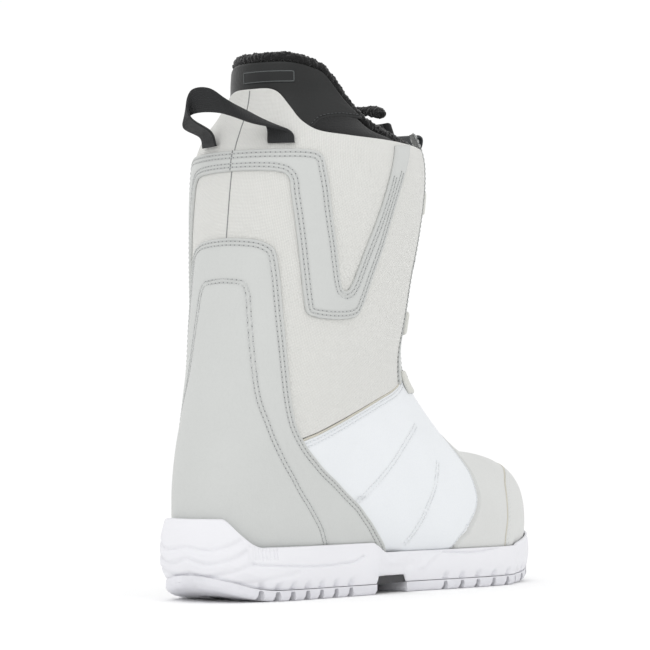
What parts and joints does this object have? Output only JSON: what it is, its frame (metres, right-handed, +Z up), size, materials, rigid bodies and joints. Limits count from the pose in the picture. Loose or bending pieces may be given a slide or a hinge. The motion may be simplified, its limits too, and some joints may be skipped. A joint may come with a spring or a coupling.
{
  "type": "snowboard boot",
  "caption": "Soft snowboard boot for the right foot, with a dial-tightened tongue, padded liner, stitched cuff band, heel pull loop and lugged sole with a raised heel.",
  "frame": {"origin": "on the ground, under the middle of the whole boot", "axes": "+Z up, toe towards -Y, heel towards +Y, outer side of the foot towards -X"},
  "size_m": [0.1238, 0.3014, 0.2959],
  "materials": {
    "leatherette": "light grey synthetic leather with a fine grain",
    "canvas": "off-white woven canvas",
    "white_leatherette": "smooth white synthetic leather",
    "sole_foam": "satin white moulded foam",
    "rubber": "matt white rubber",
    "shank": "matt black moulding",
    "webbing": "black ribbed webbing",
    "lining": "dark knitted lining",
    "board": "matt fibre board",
    "liner_foam": "black brushed fabric over foam",
    "fleece": "black fleece",
    "label": "low-sheen label",
    "lace": "coated cable lace",
    "plastic": "satin dark nylon",
    "dial_rubber": "matt black rubber",
    "steel": "brushed steel"
  },
  "bodies": {
    "boot": {"ankle_guide_lateral": "plastic", "ankle_guide_medial": "plastic", "arch_shank": "shank", "backstay": "leatherette", "cuff_band": "leatherette", "cuff_guide_lateral": "plastic", "cuff_guide_medial": "plastic", "footbed": "board", "forefoot_outsole": "rubber", "heel_counter": "board", "heel_crash_pad": "dial_rubber", "heel_outsole": "rubber", "instep_guide_lateral": "plastic", "instep_guide_medial": "plastic", "lasting_board": "board", "liner_badge": "label", "liner_cuff": "liner_foam", "liner_fleece_trim": "fleece", "liner_heel": "liner_foam", "liner_sole": "liner_foam", "liner_vamp": "liner_foam", "liner_woven_label": "label", "midsole": "sole_foam", "quarter_lateral": "white_leatherette", "quarter_medial": "white_leatherette", "shaft_canvas": "canvas", "shell_lining": "lining", "toe_bumper": "leatherette", "toe_cap": "leatherette", "toe_stiffener": "board"},
    "tongue": {"shell_tongue": "leatherette", "tongue_pull_tab": "webbing", "dial_saddle": "plastic", "dial_base": "plastic", "dial_axle": "steel", "dial_ratchet_ring": "steel", "tongue_guide_upper": "plastic", "tongue_guide_lower": "plastic", "lace_lateral": "lace", "lace_medial": "lace"},
    "liner_tongue": {"liner_tongue": "liner_foam", "liner_tongue_roll": "fleece"},
    "dial_drive": {"dial_spool": "plastic", "dial_pawl_disc": "plastic"},
    "dial_knob": {"dial_knob": "plastic", "dial_grip": "dial_rubber", "dial_cap": "plastic"},
    "pull_loop": {"heel_pull_loop": "webbing"}
  },
  "joints": [
    {"name": "tongue_open", "type": "hinge", "parent": "boot", "child": "tongue", "pos_m": [-0.002, -0.0506, 0.0967], "axis": [1, 0, 0], "range_deg": [0, 25], "deforming": ["lace_lateral", "lace_medial"]},
    {"name": "liner_tongue_open", "type": "hinge", "parent": "boot", "child": "liner_tongue", "pos_m": [-0.002, -0.0506, 0.0967], "axis": [1, 0, 0], "range_deg": [0, 25]},
    {"name": "dial_turn", "type": "hinge", "parent": "tongue", "child": "dial_drive", "pos_m": [-0.0009, -0.0318, 0.1914], "axis": [0, -0.9849, -0.1733], "continuous": true},
    {"name": "dial_pop", "type": "slide", "parent": "dial_drive", "child": "dial_knob", "axis": [0, -0.9849, -0.1733], "range_m": [0, 0.003]},
    {"name": "pull_loop_swing", "type": "hinge", "parent": "boot", "child": "pull_loop", "pos_m": [-0.002, 0.1001, 0.2432], "axis": [1, 0, 0], "range_deg": [-28, 0]}
  ],
  "couplings": [
    {"joint": "liner_tongue_open", "follows": "tongue_open", "ratio": 0.9}
  ]
}
